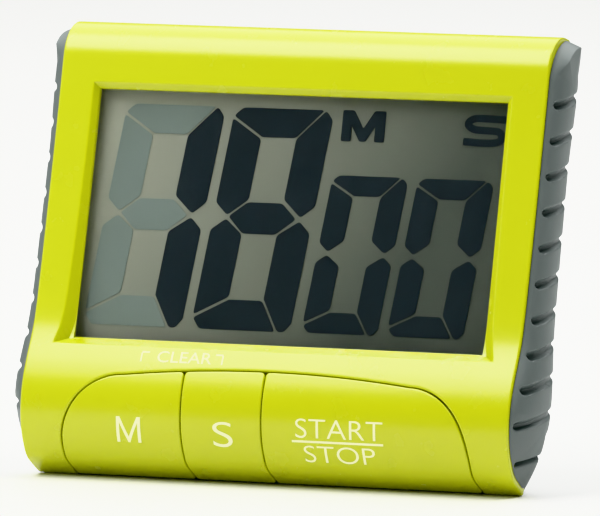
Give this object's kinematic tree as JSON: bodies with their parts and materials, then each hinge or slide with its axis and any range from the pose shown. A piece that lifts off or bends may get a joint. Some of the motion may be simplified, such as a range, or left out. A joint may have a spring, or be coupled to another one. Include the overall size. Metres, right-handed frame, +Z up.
{
  "type": "lab timer",
  "caption": "Countdown bench timer: lime front with a large display, flush keys, grey ribbed grips, fold-out stand and magnet back.",
  "frame": {"origin": "on the surface the timer stands on, under the middle of its box, with its stand open", "axes": "+X to the right of the display seen from the front, +Y from the face to the back, +Z up; the face leans back 15 degrees"},
  "size_m": [0.09, 0.0394, 0.0727],
  "materials": {
    "lime_plastic": "satin moulded lime green plastic",
    "grey_plastic": "matt mid grey moulded plastic",
    "clear_window": "clear acrylic window",
    "display_glass": "grey-green liquid crystal display glass",
    "display_film": "grey-green polarising and reflecting film",
    "black_plastic": "black moulded plastic, epoxy and wire cover",
    "white_plastic": "white plastic and ceramic",
    "board_green": "green solder mask",
    "plated_steel": "nickel plated steel",
    "brass": "brass sheet",
    "cell_label": "dark plain cell sleeve",
    "red_wire": "red wire cover",
    "amber_film": "amber flexible ribbon"
  },
  "bodies": {
    "case": {"battery_cell": "cell_label", "battery_lead_minus": "black_plastic", "battery_lead_plus": "red_wire", "battery_minus_contact": "plated_steel", "battery_plus_contact": "plated_steel", "battery_spring": "plated_steel", "board_screw_left": "plated_steel", "board_screw_right": "plated_steel", "buzzer_ceramic": "white_plastic", "buzzer_disc": "brass", "buzzer_lead_ground": "black_plastic", "buzzer_lead_signal": "red_wire", "case_screw_lower_left": "plated_steel", "case_screw_lower_right": "plated_steel", "case_screw_upper_left": "plated_steel", "case_screw_upper_right": "plated_steel", "ceramic_capacitor_1": "white_plastic", "ceramic_capacitor_2": "white_plastic", "circuit_board": "board_green", "controller_chip_blob": "black_plastic", "crystal_can": "plated_steel", "display_frame": "black_plastic", "display_front_glass": "display_glass", "display_front_polariser": "display_film", "display_lens": "clear_window", "display_rear_glass": "display_glass", "display_reflector": "display_film", "display_ribbon": "amber_film", "front_housing": "lime_plastic", "magnet_left": "plated_steel", "magnet_right": "plated_steel", "minutes_switch": "black_plastic", "pull_up_resistor": "black_plastic", "rear_housing": "grey_plastic", "seconds_switch": "black_plastic", "stand_hinge_pin": "plated_steel", "start_stop_switch": "black_plastic"},
    "minutes_key": {"minutes_button": "lime_plastic", "minutes_switch_plunger": "white_plastic"},
    "seconds_key": {"seconds_button": "lime_plastic", "seconds_switch_plunger": "white_plastic"},
    "start_stop_key": {"start_stop_button": "lime_plastic", "start_stop_switch_plunger": "white_plastic"},
    "stand": {"tilt_stand": "grey_plastic"},
    "door": {"battery_door": "grey_plastic"}
  },
  "joints": [
    {"name": "minutes_press", "type": "slide", "parent": "case", "child": "minutes_key", "axis": [0, 0.9659, -0.2588], "range_m": [0, 0.0005], "stiffness_N_per_m": 1500, "springref_m": -0.0005},
    {"name": "seconds_press", "type": "slide", "parent": "case", "child": "seconds_key", "axis": [0, 0.9659, -0.2588], "range_m": [0, 0.0005], "stiffness_N_per_m": 1500, "springref_m": -0.0005},
    {"name": "start_stop_press", "type": "slide", "parent": "case", "child": "start_stop_key", "axis": [0, 0.9659, -0.2588], "range_m": [0, 0.0005], "stiffness_N_per_m": 1500, "springref_m": -0.0005},
    {"name": "stand_fold", "type": "hinge", "parent": "case", "child": "stand", "pos_m": [0, 0.00875, 0.0401], "axis": [1, 0, 0], "range_deg": [-28.5, 0]},
    {"name": "door_slide", "type": "slide", "parent": "case", "child": "door", "axis": [0, 0.2588, 0.9659], "range_m": [0, 0.022]}
  ]
}
